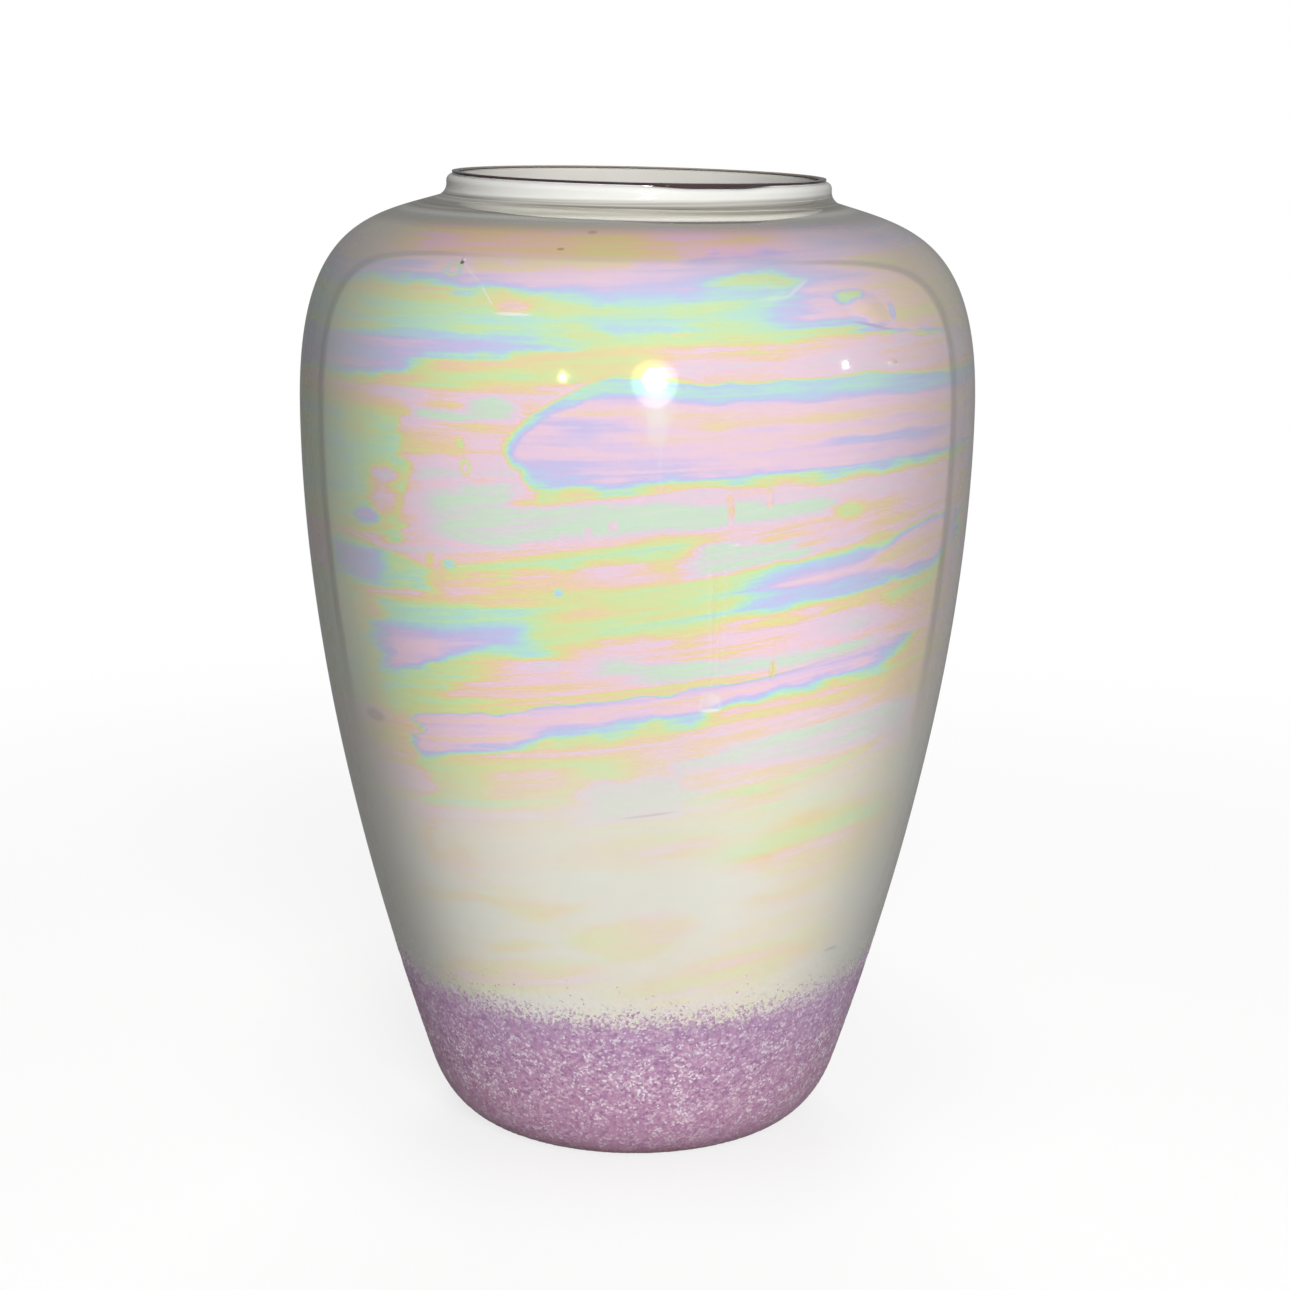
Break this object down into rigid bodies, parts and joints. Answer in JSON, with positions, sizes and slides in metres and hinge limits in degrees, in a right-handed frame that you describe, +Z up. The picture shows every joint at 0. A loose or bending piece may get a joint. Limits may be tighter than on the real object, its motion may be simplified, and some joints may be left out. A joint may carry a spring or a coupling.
{
  "type": "art glass vase",
  "caption": "Broad-shouldered blown glass vase with a short collar, a dark lip thread, an iridescent pearl body and a lilac frit base; holds flowers and stands on a flat ring.",
  "frame": {"origin": "on the vase's axis in the plane of its resting ring", "axes": "+Z up through the mouth, -Y towards the viewer of the picture, +X to the viewer's right"},
  "size_m": [0.1956, 0.1956, 0.2808],
  "materials": {
    "clear_glass": "gloss",
    "white_opal": "gloss",
    "pearl_lustre": "iridescent gloss",
    "lilac_frit": "granular",
    "dark_amethyst": "gloss",
    "ground_glass": "ground"
  },
  "bodies": {
    "root": {"inner_clear_layer": "clear_glass", "opal_layer": "white_opal", "lustre_casing": "pearl_lustre", "lilac_frit_jacket": "lilac_frit", "lip_wrap": "dark_amethyst", "pontil_disc": "ground_glass"}
  },
  "joints": []
}
